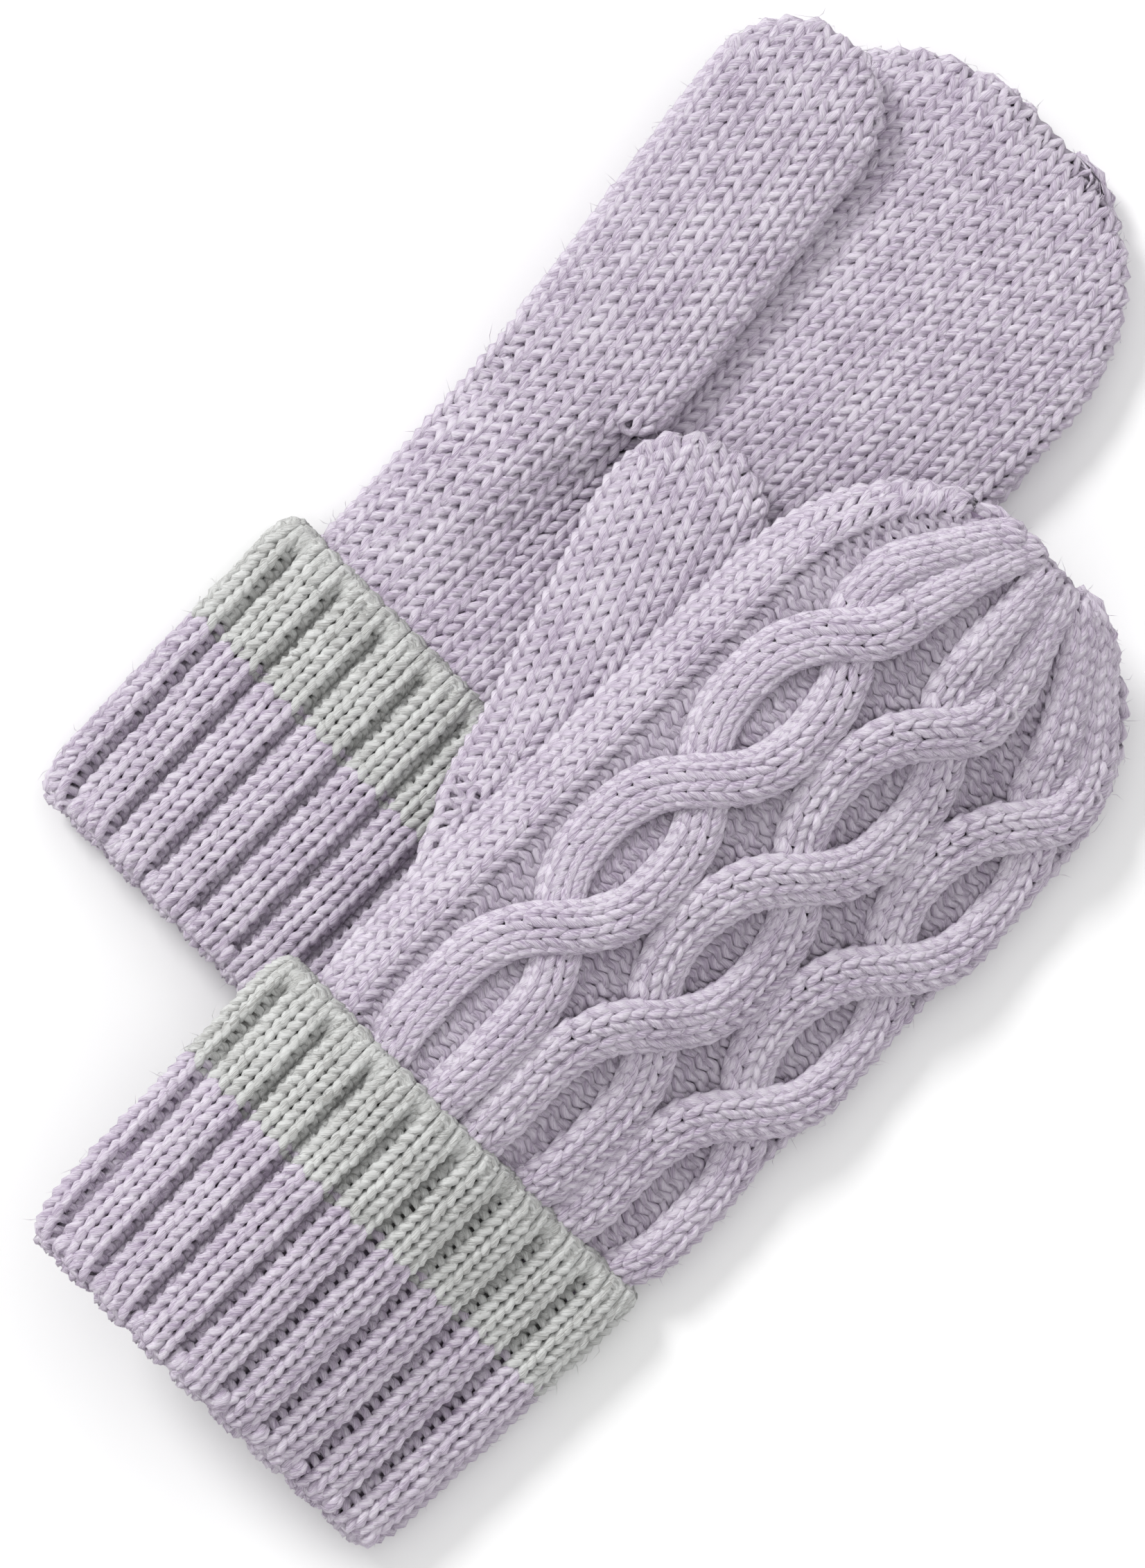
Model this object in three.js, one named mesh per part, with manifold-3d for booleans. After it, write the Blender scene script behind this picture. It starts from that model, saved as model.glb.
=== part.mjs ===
// A pair of knitted mittens lying on a table: the left one palm up, the right one palm down and leaning on it.
// Each mitten is a knitted hand, a thumb set into a gusset, and a ribbed cuff folded back over its own lining.
// Millimetres. +Z is up, +Y runs from the cuffs to the fingertips, and the origin is under the middle of the pair.
import * as THREE from "three";
import { mergeVertices } from "three/addons/utils/BufferGeometryUtils.js";
import Module from "manifold-3d";

const wasm = await Module();
wasm.setup();

const mittenLength = 258; // fold of the cuff to the fingertip
const hand = {
  width: 98,
  thickness: 15,
  fabric: 2.4,
  tipRound: 54, // length over which the fingertip end rounds in
  tipPower: 2.4,
  gatherLength: 5.5, // drawn-up stitches that close the tip
  tipPocket: 2, // how far the hollow runs into the gather
};
const cuff = {
  depth: 78, // height of the folded-back band
  widthAtFold: hand.width + 6,
  widthAtTop: hand.width + 11,
  thickness: 18,
  fabric: 2.6,
  sideShift: -3, // the cuff sits a little towards the thumb side
  foldLength: 6,
  stripe: 26, // contrast stripe, with the cast-on edge
  edge: 3, // cast-on edge
  edgeSwell: 0.8,
  foldNarrowing: 2, // the fold rolls in at its very edge, each side
  foldThinning: 1.5, // and above and below
  overlap: 10, // how far the hand runs down inside the band
  overlapEase: 14, // length over which the hand swells to its full size
  handEase: 2.5, // the hand is this much narrower inside the band, each side
};
const thumb = {
  thickness: 9.8,
  fabric: 2,
  tipRound: 24,
  tipPower: 2.2,
  sidePower: 2.3,
  gatherLength: 4,
  tipPocket: 1,
  baseTaper: 0.82, // the base is narrower, so that it turns inside the gusset
  insert: 7, // how far the base reaches into the gusset
};
const gusset = {
  length: 56, // from the thumb's crease towards the cuff
  fabric: 2.2,
  clearance: 2, // between the thumb's sides and the gusset's mouth
  headroom: 0.7, // and above and below the thumb
  setback: 4, // from the thumb's crease to the gusset's mouth
  joinLength: 3, // picked-up round of stitches at the mouth
  holeLength: 34,
  holeWidth: 26,
  holeSetback: 8, // from the thumb's crease to the thumb hole in the palm
  holeShift: 2, // towards the middle of the palm
};
const seamWidth = 2.4;
const gap = 0.3; // between pieces that touch
const weld = 0.05; // corners closer than this are one
const runningGap = 0.6; // between the band and the lining that it rolls over
const tipBlunt = 0.2; // a tip stops this far short of a point
const overrun = 10; // how far a hollow is cut past an open end

// How each mitten lies, in its own palm-up frame.
const leftLay = {
  onTable: "back",
  sideLevel: (cuff.thickness * 19) / 45, // height of the side seams
  palmTilt: 0,
  palmPower: 2,
  backPower: 2.8,
  press: 1, // how much of its belly the table flattens
  thumbBase: [-32.5, 150],
  thumbWidth: 40,
  thumbLength: 90,
  thumbSpread: 8, // degrees outwards
};
const rightLay = {
  onTable: "palm",
  sideLevel: (cuff.thickness * 7) / 12,
  palmTilt: 0.008, // per mm: the thumb side is pressed thinner than the outer side
  palmPower: 2,
  backPower: 2.2,
  press: 0,
  thumbBase: [-42, 143],
  thumbWidth: 38,
  thumbLength: 86,
  thumbSpread: 18,
};
const rightOffset = [67, -67.5]; // of the right mitten from the left one, along X and Y
const drape = {
  level: -22, // the right mitten is level from its thumb to here, where it lies on the left one
  table: 50, // and comes down to the table here
  step: 0.25, // between the tries for its height
  clearance: 0.5,
};

// Fineness of the solids.
const handAround = 28; // of the cuff too
const handAlong = 6;
const tipAlong = 7;
const cuffAlong = 3;
const thumbAround = 18;
const thumbAlong = 4;
const gussetAround = 16;

const lilac = new THREE.MeshStandardMaterial({ color: 0xcbc0d1, roughness: 0.95, metalness: 0 });
const grey = new THREE.MeshStandardMaterial({ color: 0xb8b9b7, roughness: 0.95, metalness: 0 });
const seamLilac = new THREE.MeshStandardMaterial({ color: 0xbeb2c6, roughness: 0.95, metalness: 0 });

function solidOf(geometry) {
  const bare = geometry.clone();
  bare.deleteAttribute("normal");
  bare.deleteAttribute("uv");
  const merged = mergeVertices(bare, 1e-4);
  const mesh = new wasm.Mesh({
    numProp: 3,
    vertProperties: new Float32Array(merged.attributes.position.array),
    triVerts: new Uint32Array(merged.index.array),
  });
  return new wasm.Manifold(mesh);
}

// Corners that a cut left closer together than the weld become one, and the slivers between them go.
function geometryOf(solid) {
  const mesh = solid.getMesh();
  const raw = new THREE.BufferGeometry();
  raw.setAttribute("position", new THREE.BufferAttribute(new Float32Array(mesh.vertProperties), 3));
  raw.setIndex(new THREE.BufferAttribute(new Uint32Array(mesh.triVerts), 1));
  const geometry = mergeVertices(raw, weld);
  const corners = geometry.index.array;
  const kept = [];
  for (let i = 0; i < corners.length; i += 3) {
    const [a, b, c] = corners.slice(i, i + 3);
    if (a !== b && b !== c && c !== a) kept.push(a, b, c);
  }
  geometry.setIndex(kept);
  geometry.computeVertexNormals();
  return geometry;
}

function box(low, high) {
  const size = high.map((h, i) => h - low[i]);
  const middle = high.map((h, i) => (h + low[i]) / 2);
  return solidOf(new THREE.BoxGeometry(...size).translate(...middle));
}

const far = 1000;
const beyond = (y) => box([-far, y, -far], [far, far, far]);
const before = (y) => box([-far, -far, -far], [far, y, far]);

const mix = (a, b, t) => a + (b - a) * t;
const ease = (a, b, x) => THREE.MathUtils.smoothstep(x, a, b);

// A closed body along Y, with a ring of points at each of its stations. Its section is given by a half-width,
// a low and a high, by the height of its two edges, and by how full it is above and below them.
function pillow(form, stations, around) {
  const geometry = new THREE.CylinderGeometry(1, 1, 1, around, stations.length - 1);
  const at = geometry.attributes.position;
  for (let i = 0; i < at.count; i++) {
    const y = stations[Math.round((at.getY(i) + 0.5) * (stations.length - 1))];
    const reach = Math.min(1, Math.hypot(at.getX(i), at.getZ(i)));
    const angle = Math.atan2(at.getZ(i), at.getX(i));
    const power = angle >= 0 ? form.palmPower : form.backPower;
    const across = Math.sign(Math.cos(angle)) * Math.abs(Math.cos(angle)) ** (2 / power);
    const rise = Math.abs(Math.sin(angle)) ** (2 / power);
    const x = form.halfWidth(y) * across * reach;
    const fullness = 1 + form.palmTilt * form.halfWidth(y) * across;
    const above = form.side + (form.high(y) - form.side) * fullness * rise;
    const below = Math.max(form.floor, mix(form.side, form.low(y), rise));
    const rim = angle >= 0 ? above : below;
    at.setXYZ(i, x + form.centre(y), y, mix(form.side, rim, reach));
  }
  return solidOf(geometry);
}

// The same section, drawn in all round.
function inset(form, by) {
  return {
    ...form,
    halfWidth: (y) => form.halfWidth(y) - by,
    low: (y) => form.low(y) + by,
    high: (y) => form.high(y) - by,
    floor: form.floor + by,
  };
}

const evenly = (from, to, steps) => Array.from({ length: steps + 1 }, (_, i) => mix(from, to, i / steps));

// Stations that crowd towards a rounded end.
const towardsTip = (from, to, steps) =>
  Array.from({ length: steps }, (_, i) => mix(from, to, Math.sin(((i + 1) / steps) * (Math.PI / 2))));

// The end of a knitted tube: full until the rounding starts, then a superellipse.
function rounding(start, length, power) {
  return (y) => (y <= start ? 1 : (1 - Math.min(1, (y - start) / length) ** power) ** (1 / power));
}

// One mitten, palm up, with its fold at y = 0.
function buildMitten(prefix, lay) {
  const pieces = new Map();
  // The hand is as flat as the cuff's inside where the band covers it, and lies on the table beyond it.
  const handStart = cuff.depth - cuff.overlap;
  const inCuff = cuff.fabric + runningGap;
  const swellEnd = cuff.depth + cuff.overlapEase;
  const swell = (y) => ease(cuff.depth, swellEnd, y);
  const tipStart = mittenLength - hand.tipRound;
  const tipEnd = mittenLength - hand.gatherLength;
  const taper = rounding(tipStart, hand.tipRound, hand.tipPower);
  const handLow = lay.onTable === "back" ? 0 : cuff.thickness - hand.thickness;
  const handHigh = handLow + hand.thickness;
  const handForm = {
    centre: () => 0,
    halfWidth: (y) => (hand.width / 2 - cuff.handEase * (1 - swell(y))) * taper(y),
    low: (y) => mix(lay.sideLevel, mix(inCuff, handLow - lay.press, swell(y)), taper(y)),
    high: (y) => mix(lay.sideLevel, mix(cuff.thickness - inCuff, handHigh, swell(y)), taper(y)),
    side: lay.sideLevel,
    palmTilt: lay.palmTilt,
    palmPower: lay.palmPower,
    backPower: lay.backPower,
    floor: 0,
  };
  const handStations = (from, to) => [
    from,
    ...evenly(cuff.depth, swellEnd, 4),
    ...evenly(swellEnd, tipStart, handAlong).slice(1),
    ...towardsTip(tipStart, to, tipAlong),
  ];
  const handShell = pillow(handForm, handStations(handStart, mittenLength - tipBlunt), handAround).subtract(
    pillow(inset(handForm, hand.fabric), handStations(handStart - overrun, tipEnd + hand.tipPocket), handAround),
  );

  // The side seams lie level, and split the hand into its palm and its back.
  const slab = (from, to) => box([-far, -far, lay.sideLevel + from], [far, far, lay.sideLevel + to]);
  const sleeve = handShell.intersect(before(tipEnd - gap));
  const half = seamWidth / 2;

  // The thumb and its gusset share a frame: origin in the middle of the thumb's crease, +Y along the thumb.
  const spread = THREE.MathUtils.degToRad(lay.thumbSpread);
  const thumbHalf = lay.thumbWidth / 2;
  const [baseX, baseY] = lay.thumbBase;
  const palmHeight = (x) => {
    const rise = rounding(0, handForm.halfWidth(baseY), lay.palmPower)(Math.abs(x));
    return lay.sideLevel + (handForm.high(baseY) - lay.sideLevel) * (1 + lay.palmTilt * x) * rise;
  };
  const thumbSide = rounding(0, thumbHalf, thumb.sidePower);
  const thumbLevel =
    2 * gap +
    Math.max(
      ...evenly(-thumbHalf, thumbHalf, 20).map(
        (x) => palmHeight(baseX + x) + (thumb.thickness / 2) * thumbSide(Math.abs(x)),
      ),
    );
  const toMitten = new THREE.Matrix4()
    .makeTranslation(baseX, baseY, thumbLevel)
    .multiply(new THREE.Matrix4().makeRotationZ(spread));
  const place = (solid) => solidOf(geometryOf(solid).applyMatrix4(toMitten));

  const thumbTip = lay.thumbLength;
  const thumbEnd = thumbTip - thumb.gatherLength;
  const round = rounding(thumbTip - thumb.tipRound, thumb.tipRound, thumb.tipPower);
  const waist = (s) => mix(thumb.baseTaper, 1, ease(-thumb.insert, 2, s));
  const thumbForm = {
    centre: () => 0,
    halfWidth: (s) => thumbHalf * round(s) * waist(s),
    low: (s) => (-thumb.thickness / 2) * round(s) * waist(s),
    high: (s) => (thumb.thickness / 2) * round(s) * waist(s),
    side: 0,
    palmTilt: 0,
    palmPower: thumb.sidePower,
    backPower: thumb.sidePower,
    floor: -far,
  };
  const thumbStations = (from, to) => [
    from,
    ...evenly(-thumb.insert, 2, 3).slice(1),
    ...evenly(2, thumbTip - thumb.tipRound, thumbAlong).slice(1),
    ...towardsTip(thumbTip - thumb.tipRound, to, tipAlong),
  ];
  const thumbShell = pillow(thumbForm, thumbStations(-thumb.insert, thumbTip - tipBlunt), thumbAround).subtract(
    pillow(
      inset(thumbForm, thumb.fabric),
      thumbStations(-thumb.insert - overrun, thumbEnd + thumb.tipPocket),
      thumbAround,
    ),
  );
  pieces.set("thumb_tube", [place(thumbShell.intersect(before(thumbEnd - gap))), lilac]);
  pieces.set("thumb_tip_gather", [place(thumbShell.intersect(beyond(thumbEnd))), seamLilac]);

  // The gusset is a hood over the thumb hole. Its mouth holds the round of stitches that the thumb grows from.
  const dome = (grow) =>
    solidOf(
      new THREE.SphereGeometry(1, gussetAround, gussetAround / 2)
        .rotateX(Math.PI / 2)
        .scale(
          thumbHalf + gusset.clearance + grow,
          gusset.length + grow,
          thumb.thickness / 2 + gusset.headroom + grow,
        ),
    );
  const hood = dome(gusset.fabric).subtract(dome(0)).intersect(before(-gusset.setback));
  const holeDepth = 40;
  const hole = solidOf(
    new THREE.CylinderGeometry(gusset.holeWidth / 2, gusset.holeWidth / 2, holeDepth, gussetAround)
      .rotateX(Math.PI / 2)
      .scale(1, gusset.holeLength / gusset.holeWidth, 1)
      .translate(gusset.holeShift, -gusset.holeSetback - gusset.holeLength / 2, -holeDepth / 2),
  );
  const grown = pillow(inset(handForm, -2 * gap), handStations(handStart, mittenLength), handAround);
  const biggest = (solid) => solid.decompose().sort((a, b) => b.volume() - a.volume())[0];
  const mouth = beyond(-gusset.setback - gusset.joinLength);
  const openHood = place(hood.subtract(hole)).subtract(grown);
  const placedMouth = place(mouth);
  const behindMouth = place(before(-gusset.setback - gusset.joinLength - gap));
  pieces.set("thumb_gusset", [biggest(openHood.intersect(behindMouth)), lilac]);
  pieces.set("thumb_join", [biggest(openHood.intersect(placedMouth)), seamLilac]);

  const placedHole = place(hole);
  const palm = sleeve.intersect(slab(half + gap, far)).subtract(placedHole);
  pieces.set("palm_panel", [biggest(palm), lilac]);
  pieces.set("back_panel", [sleeve.intersect(slab(-far, -half - gap)), lilac]);
  const seam = sleeve.intersect(slab(-half, half));
  pieces.set("thumb_side_seam", [biggest(seam.intersect(box([-far, -far, -far], [0, far, far]))), seamLilac]);
  pieces.set("outer_side_seam", [biggest(seam.intersect(box([0, -far, -far], [far, far, far]))), seamLilac]);
  pieces.set("tip_gather", [handShell.intersect(beyond(tipEnd)), seamLilac]);

  // The cuff is a lining, a fold, and a band with a contrast stripe and a cast-on edge.
  const cuffForm = {
    centre: () => cuff.sideShift,
    halfWidth: (y) => mix(cuff.widthAtFold, cuff.widthAtTop, y / cuff.depth) / 2,
    low: () => -lay.press,
    high: () => cuff.thickness,
    side: lay.sideLevel,
    palmTilt: lay.palmTilt,
    palmPower: lay.palmPower,
    backPower: lay.backPower,
    floor: 0,
  };
  const bandBottom = cuff.foldLength + gap;
  const liningForm = {
    ...cuffForm,
    centre: (y) => mix(cuff.sideShift, 0, ease(bandBottom, handStart, y)),
    halfWidth: (y) =>
      mix(
        cuff.widthAtFold / 2 - cuff.fabric - runningGap,
        handForm.halfWidth(handStart),
        ease(bandBottom, handStart, y),
      ),
    low: () => inCuff,
    high: () => cuff.thickness - inCuff,
    floor: -far,
  };
  const tube = (outer, inner, from, to) => {
    const stations = evenly(from, to, cuffAlong);
    return pillow(outer, stations, handAround).subtract(
      pillow(inner, [from - overrun, ...stations, to + overrun], handAround),
    );
  };
  const bandInner = inset(cuffForm, cuff.fabric);
  const liningInner = inset(liningForm, hand.fabric);
  const edgeForm = { ...inset(cuffForm, -cuff.edgeSwell), floor: 0 };
  const roll = (y) => 1 - ease(-1, cuff.foldLength, y);
  const rolled = {
    ...cuffForm,
    halfWidth: (y) => cuffForm.halfWidth(0) - cuff.foldNarrowing * roll(y),
    low: (y) => cuff.foldThinning * roll(y),
    high: (y) => cuff.thickness - cuff.foldThinning * roll(y),
  };
  const stripeBottom = cuff.depth - cuff.stripe;
  const edgeBottom = cuff.depth - cuff.edge;
  const liningAtFold = {
    ...cuffForm,
    halfWidth: () => liningInner.halfWidth(bandBottom),
    low: liningInner.low,
    high: liningInner.high,
  };
  pieces.set("cuff_lining", [tube(liningForm, liningInner, bandBottom, handStart - gap), lilac]);
  pieces.set("cuff_fold", [tube(rolled, liningAtFold, 0, cuff.foldLength), lilac]);
  pieces.set("cuff_band", [tube(cuffForm, bandInner, bandBottom, stripeBottom - gap), lilac]);
  pieces.set("cuff_stripe", [tube(cuffForm, bandInner, stripeBottom, edgeBottom - gap), grey]);
  pieces.set("cuff_edge", [tube(edgeForm, bandInner, edgeBottom, cuff.depth), grey]);

  return { prefix, pieces };
}

function groupOf({ prefix, pieces }, move) {
  const group = new THREE.Group();
  for (const [name, [solid, material]] of pieces) {
    const mesh = new THREE.Mesh(move(geometryOf(solid)), material);
    mesh.name = `${prefix}_${name}`;
    group.add(mesh);
  }
  return group;
}

// The right mitten is turned palm down and draped: its outer side on the table, its thumb side raised.
function layPalmDown(geometry, rise) {
  const at = geometry.attributes.position;
  for (let i = 0; i < at.count; i++) {
    const [x, y, z] = [at.getX(i), at.getY(i), at.getZ(i)];
    const raised = rise * (1 - ease(drape.level, drape.table, x));
    at.setXYZ(i, x + rightOffset[0], y + rightOffset[1], cuff.thickness - z + raised);
  }
  geometry.index.array.reverse();
  geometry.computeVertexNormals();
  return geometry;
}

const solidsOf = (group) => group.children.map((mesh) => solidOf(mesh.geometry));
const clears = (upper, lower) =>
  solidsOf(upper).every((a) => lower.every((b) => a.translate([0, 0, -drape.clearance]).intersect(b).isEmpty()));

const left = groupOf(buildMitten("left", leftLay), (geometry) => geometry);
const lower = solidsOf(left);
const rightMitten = buildMitten("right", rightLay);
let rise = thumb.thickness + hand.thickness;
let right = groupOf(rightMitten, (geometry) => layPalmDown(geometry, rise));
while (!clears(right, lower)) {
  rise += drape.step;
  right = groupOf(rightMitten, (geometry) => layPalmDown(geometry, rise));
}

const pair = new THREE.Group();
pair.add(left, right);
const bounds = new THREE.Box3().setFromObject(pair, true);
pair.position.set(-(bounds.min.x + bounds.max.x) / 2, -(bounds.min.y + bounds.max.y) / 2, -bounds.min.z);
export default pair;
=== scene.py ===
import math

import bmesh
import bpy
import numpy as np
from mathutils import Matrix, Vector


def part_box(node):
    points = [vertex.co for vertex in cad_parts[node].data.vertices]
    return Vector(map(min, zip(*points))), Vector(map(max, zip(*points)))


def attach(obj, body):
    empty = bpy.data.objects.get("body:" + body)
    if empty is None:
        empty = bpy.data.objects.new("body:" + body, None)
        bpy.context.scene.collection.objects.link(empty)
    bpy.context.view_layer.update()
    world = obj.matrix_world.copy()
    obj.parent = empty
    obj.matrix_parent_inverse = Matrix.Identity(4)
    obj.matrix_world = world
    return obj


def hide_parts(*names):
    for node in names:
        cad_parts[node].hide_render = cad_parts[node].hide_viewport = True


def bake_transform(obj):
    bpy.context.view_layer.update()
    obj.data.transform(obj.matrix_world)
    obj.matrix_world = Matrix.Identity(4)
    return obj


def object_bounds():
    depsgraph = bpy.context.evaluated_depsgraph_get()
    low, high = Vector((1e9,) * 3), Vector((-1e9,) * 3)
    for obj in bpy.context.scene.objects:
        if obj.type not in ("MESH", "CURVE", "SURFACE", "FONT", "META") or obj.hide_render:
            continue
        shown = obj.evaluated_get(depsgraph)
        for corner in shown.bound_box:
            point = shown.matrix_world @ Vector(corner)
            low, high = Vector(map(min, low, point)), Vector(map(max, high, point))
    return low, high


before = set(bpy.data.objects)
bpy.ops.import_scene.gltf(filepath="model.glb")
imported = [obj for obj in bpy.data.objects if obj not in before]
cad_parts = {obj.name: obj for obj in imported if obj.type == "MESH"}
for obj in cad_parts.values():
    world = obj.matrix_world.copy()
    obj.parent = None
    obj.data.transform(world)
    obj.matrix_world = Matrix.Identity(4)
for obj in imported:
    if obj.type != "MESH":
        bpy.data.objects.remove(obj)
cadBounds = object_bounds()
mm = 0.001
scene = bpy.context.scene
for light in [o for o in bpy.data.objects if o.type == "LIGHT"]:
    bpy.data.objects.remove(light)

# sizes of the mittens in mm, palm up, as the frame has them; y runs from the fold to the fingertips
handShape = dict(width=98, length=258, tipRound=54, tipPower=2.4, swell=14, cuffEase=2.5,
                 tuck=2, tuckFrom=74, tuckTo=85, yarnEnd=0.4, fullAt=180)
cuffShape = dict(depth=78, stripe=26, widthAtFold=104, widthAtTop=109, thickness=18, sideShift=-3, inside=3.2,
                 corner=2.2, cornerFrom=-2, cornerTo=10, yarnInset=1.2)
thumbShape = dict(thickness=9.8, tipRound=24, tipPower=2.2, sidePower=2.3)
lays = {
    "left": dict(side=7.6, handLow=-1, handHigh=15, cuffLow=-1, tilt=0, palmPower=2, backPower=2.8, floor=0,
                 thumbBase=(-32.5, 150), thumbHalf=20, thumbLength=90, thumbSpread=8,
                 gussetEdge=-13.5, gussetSwell=76),
    "right": dict(side=10.5, handLow=3, handHigh=18, cuffLow=0, tilt=0.008, palmPower=2, backPower=2.2,
                  floor=0, thumbBase=(-42, 143), thumbHalf=19, thumbLength=86, thumbSpread=18,
                  gussetEdge=-22.5, gussetSwell=40),
}
drape = dict(level=-22, table=50)
seamHalf = 1.2
thinnest = dict(halfWidth=0.5, height=0.4)
arcSteps = 160
sideMost = 0.998  # the share of the half width that a stitch may reach


def mix(a, b, t):
    return a + (b - a) * t


def ease(a, b, x):
    t = np.clip((x - a) / (b - a), 0, 1)
    return t * t * (3 - 2 * t)


def rounding(y, start, length, power):
    t = np.clip((y - start) / length, 0, 0.9999)
    return (1 - t ** power) ** (1 / power)


def nodeCentre(node):
    low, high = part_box(node)
    return [(a + b) / 2 / mm for a, b in zip(low, high)]


def nodeLow(node):
    return [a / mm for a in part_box(node)[0]]


for name, lay in lays.items():
    lay["name"] = name
    lay["originX"] = nodeCentre(name + "_back_panel")[0]
    lay["originY"] = nodeLow(name + "_cuff_fold")[1]
    lay["thumbLevel"] = nodeCentre(name + "_thumb_tube")[2]
# the seam beside the right thumb lies level, so its height gives how far that mitten is raised
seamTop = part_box("right_thumb_side_seam")[1][2] / mm
lays["right"]["raise"] = seamTop - (cuffShape["thickness"] - lays["right"]["side"] + seamHalf)


def place(lay, x, y, z, normal, lift):
    # from the mitten's own palm-up frame to the pair's frame; lift is along the fabric's normal.
    # each point comes back with its normal and its lift
    nx, ny, nz = normal
    if lay["name"] == "right":
        span = drape["table"] - drape["level"]
        t = np.clip((x - drape["level"]) / span, 0, 1)
        slope = -lay["raise"] * 6 * t * (1 - t) / span
        z = cuffShape["thickness"] - z + lay["raise"] * (1 - ease(drape["level"], drape["table"], x))
        nx, nz = nx + nz * slope, -nz
    size = np.sqrt(nx * nx + ny * ny + nz * nz) + 1e-9
    nx, ny, nz = nx / size, ny / size, nz / size
    x, y, z = x + lay["originX"] + nx * lift, y + lay["originY"] + ny * lift, z + nz * lift
    return np.stack([x, y, z, nx, ny, nz, lift + 0 * x], -1)


# each face is half of a flat rounded tube, measured by arc length from its middle
def faceOf(lay, face, halfWidth, height, floor, shift):
    return dict(lay=lay, face=face, halfWidth=halfWidth, height=height, side=lay["side"], floor=floor,
                power=lay["palmPower"] if face > 0 else lay["backPower"],
                tilt=lay["tilt"] if face > 0 else 0, centre=lambda y: shift + 0 * y)


def handFace(lay, face):
    tipStart = handShape["length"] - handShape["tipRound"]

    def swell(y):
        return ease(cuffShape["depth"], cuffShape["depth"] + handShape["swell"], y)

    def taper(y):
        return rounding(y, tipStart, handShape["tipRound"], handShape["tipPower"])

    def halfWidth(y):
        return (handShape["width"] / 2 - handShape["cuffEase"] * (1 - swell(y))) * taper(y)

    def height(y):
        if face > 0:
            full = mix(cuffShape["thickness"] - cuffShape["inside"], lay["handHigh"], swell(y)) - lay["side"]
        else:
            full = lay["side"] - mix(cuffShape["inside"], lay["handLow"], swell(y))
        tucked = handShape["tuck"] * (1 - ease(handShape["tuckFrom"], handShape["tuckTo"], y))
        return (full - tucked) * taper(y)

    return faceOf(lay, face, halfWidth, height, lay["floor"], 0)


def cuffFace(lay, face, inset=0):
    def halfWidth(y):
        corner = cuffShape["corner"] * (1 - ease(cuffShape["cornerFrom"], cuffShape["cornerTo"], y))
        width = mix(cuffShape["widthAtFold"], cuffShape["widthAtTop"], y / cuffShape["depth"])
        return width / 2 - inset - corner

    def height(y):
        if face > 0:
            return cuffShape["thickness"] - lay["side"] - inset + 0 * y
        return lay["side"] - lay["cuffLow"] - inset + 0 * y

    return faceOf(lay, face, halfWidth, height, lay["floor"] + inset, cuffShape["sideShift"])


def arcTable(section, y):
    angle = np.linspace(math.pi / 2, 0, arcSteps)
    power = 2 / section["power"]
    x = float(section["halfWidth"](y)) * np.cos(angle) ** power
    z = float(section["height"](y)) * np.sin(angle) ** power
    x[0] = 0
    z[-1] = 0
    arc = np.concatenate([[0], np.cumsum(np.hypot(np.diff(x), np.diff(z)))])
    return arc, x


def halfArc(section, y):
    return arcTable(section, y)[0][-1]


def onFace(section, s, rowY, y, lift):
    # s is arc length from the middle of the face, rowY is the row's own height and y each point's
    arc, xs = arcTable(section, rowY)
    a = np.maximum(section["halfWidth"](y), thinnest["halfWidth"])
    h = np.maximum(section["height"](y), thinnest["height"])
    x = np.sign(s) * np.interp(np.abs(s), arc, xs)
    x = np.clip(x, -a * sideMost, a * sideMost)
    power = section["power"]
    u = np.abs(x) / a
    rise = (1 - u ** power) ** (1 / power)
    full = 1 + section["tilt"] * x
    z = section["side"] + section["face"] * h * rise * full
    step = 0.5
    da = (section["halfWidth"](y + step) - section["halfWidth"](y - step)) / (2 * step) / a
    dh = (section["height"](y + step) - section["height"](y - step)) / (2 * step) / h
    nx = np.sign(x) * u ** (power - 1) / a
    nz = section["face"] * rise ** (power - 1) / h
    ny = -(u ** power * da + rise ** power * dh)
    z = np.where(z < section["floor"], section["floor"], z)
    return place(section["lay"], x + section["centre"](y), y, z, (nx, ny, nz), lift)


stitchShape = dict(lean=0.3, reach=0.85, depth=0.8, plump=0.14, radius=1.08, wander=0.16, uneven=0.05,
                   meet=0.2, pressed=0.95, narrowest=0.35, face=-0.5, grooveDepth=3.6)
chance = np.random.default_rng(11)


def stitches(edges, kinds, rowY, course, points=10, flip=1, lean=stitchShape["lean"]):
    # one loop of yarn for each stitch: its feet and head behind, and its legs in front, on the knit side
    n = len(kinds)
    t = np.tile(np.arange(points) / points, (n, 1))
    width = (edges[1:] - edges[:-1])[:, None]
    s = edges[:-1][:, None] + width * (t + lean * np.sin(4 * math.pi * t))
    y = rowY - flip * stitchShape["reach"] * course * np.cos(2 * math.pi * t)
    left = np.concatenate([kinds[:1], (kinds[1:] + kinds[:-1]) / 2])[:, None]
    right = np.concatenate([(kinds[1:] + kinds[:-1]) / 2, kinds[-1:]])[:, None]
    meet = stitchShape["meet"]
    kind = kinds[:, None] + (left - kinds[:, None]) * np.clip(1 - t / meet, 0, 1)
    kind = kind + (right - kinds[:, None]) * np.clip((t - (1 - meet)) / meet, 0, 1)
    lift = -stitchShape["depth"] * np.cos(4 * math.pi * t) * kind
    # no two stitches sit quite alike
    free = np.sin(math.pi * t) * stitchShape["wander"]
    s = s + free * chance.normal(size=(n, 1))
    y = y + free * chance.normal(size=(n, 1))
    lift = lift + free * chance.normal(size=(n, 1))
    even = 1 + stitchShape["uneven"] * np.sin(math.pi * t) * chance.normal(size=(n, 1))
    radius = (1 + stitchShape["plump"] * np.abs(np.sin(2 * math.pi * t))) * even
    return s.ravel(), y.ravel(), lift.ravel(), radius.ravel()


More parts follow.
